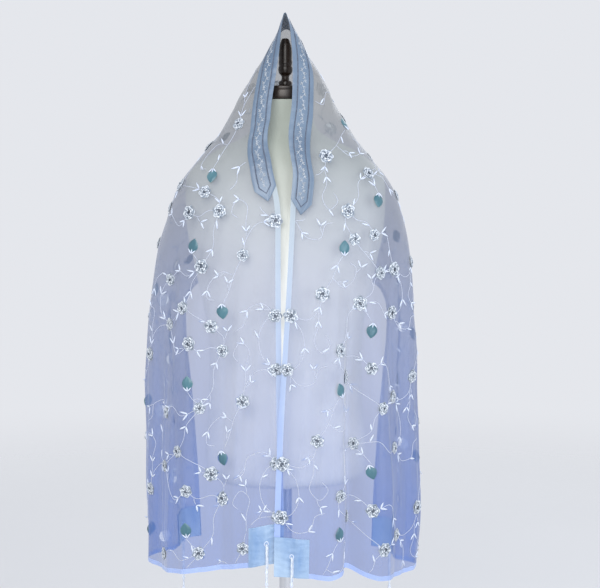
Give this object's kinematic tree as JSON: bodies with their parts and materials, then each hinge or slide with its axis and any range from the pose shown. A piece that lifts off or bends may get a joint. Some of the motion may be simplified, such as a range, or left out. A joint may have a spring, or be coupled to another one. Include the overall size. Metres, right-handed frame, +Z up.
{
  "type": "tallit prayer shawl on a dress form",
  "caption": "Sheer embroidered prayer shawl with a satin neckband, corner squares and knotted tassels, draped over a limbless dress form on a round stand.",
  "frame": {"origin": "centre of the stand base's underside, below the dress form's axis", "axes": "+Z up along the pole to the shawl's peak; -Y is the front, where the shawl's long edges hang; +X is the viewer's right as seen from the front"},
  "size_m": [0.5323, 0.38, 1.4247],
  "materials": {
    "organza": "sheer woven organza with white embroidery",
    "satin": "light blue satin",
    "thread": "matte white twisted thread",
    "form_cover": "matte off-white jersey cover",
    "dark_wood": "turned and stained dark, satin",
    "steel": "satin steel tube"
  },
  "bodies": {
    "root": {"tallit_cloth": "organza", "neckband": "satin", "corner_square_front_left": "satin", "corner_square_front_right": "satin", "corner_square_back_left": "satin", "corner_square_back_right": "satin", "tassel_front_left": "thread", "tassel_front_right": "thread", "tassel_back_left": "thread", "tassel_back_right": "thread", "form_torso": "form_cover", "form_neck_cap": "dark_wood", "form_finial": "dark_wood", "form_base": "dark_wood", "form_pole": "steel"}
  },
  "joints": []
}
